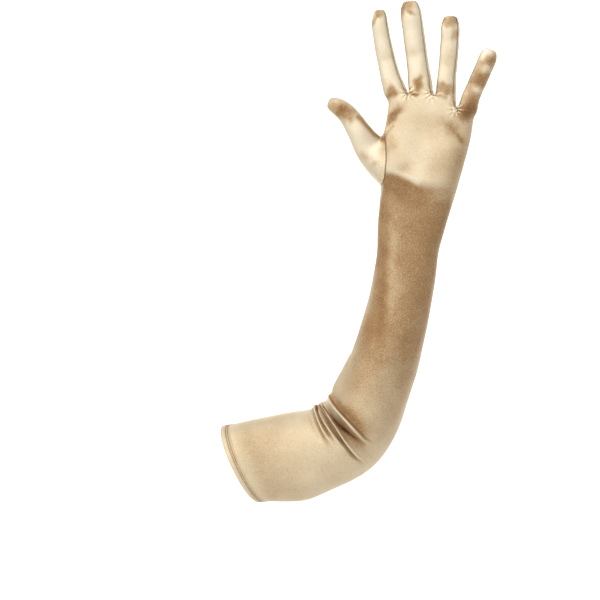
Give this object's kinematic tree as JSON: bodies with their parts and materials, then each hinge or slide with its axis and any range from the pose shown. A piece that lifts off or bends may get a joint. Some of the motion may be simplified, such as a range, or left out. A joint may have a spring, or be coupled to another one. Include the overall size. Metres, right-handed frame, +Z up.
{
  "type": "satin opera glove",
  "caption": "Long stretch satin glove for a left hand, in the form it has on a bent arm, with open fingers, gathered elbow and turned hem.",
  "frame": {"origin": "middle of the open hem, where the arm goes in", "axes": "+Z up along the forearm, +X from the hem towards the elbow, -Y out of the palm"},
  "size_m": [0.2616, 0.0791, 0.467],
  "materials": {
    "satin": "champagne gold stretch satin, soft sheen",
    "satin_hem": "champagne gold stretch satin, turned and topstitched"
  },
  "bodies": {
    "root": {"trank": "satin", "thumb": "satin", "fourchette_index_middle": "satin", "fourchette_middle_ring": "satin", "fourchette_ring_little": "satin", "hem": "satin_hem"}
  },
  "joints": []
}
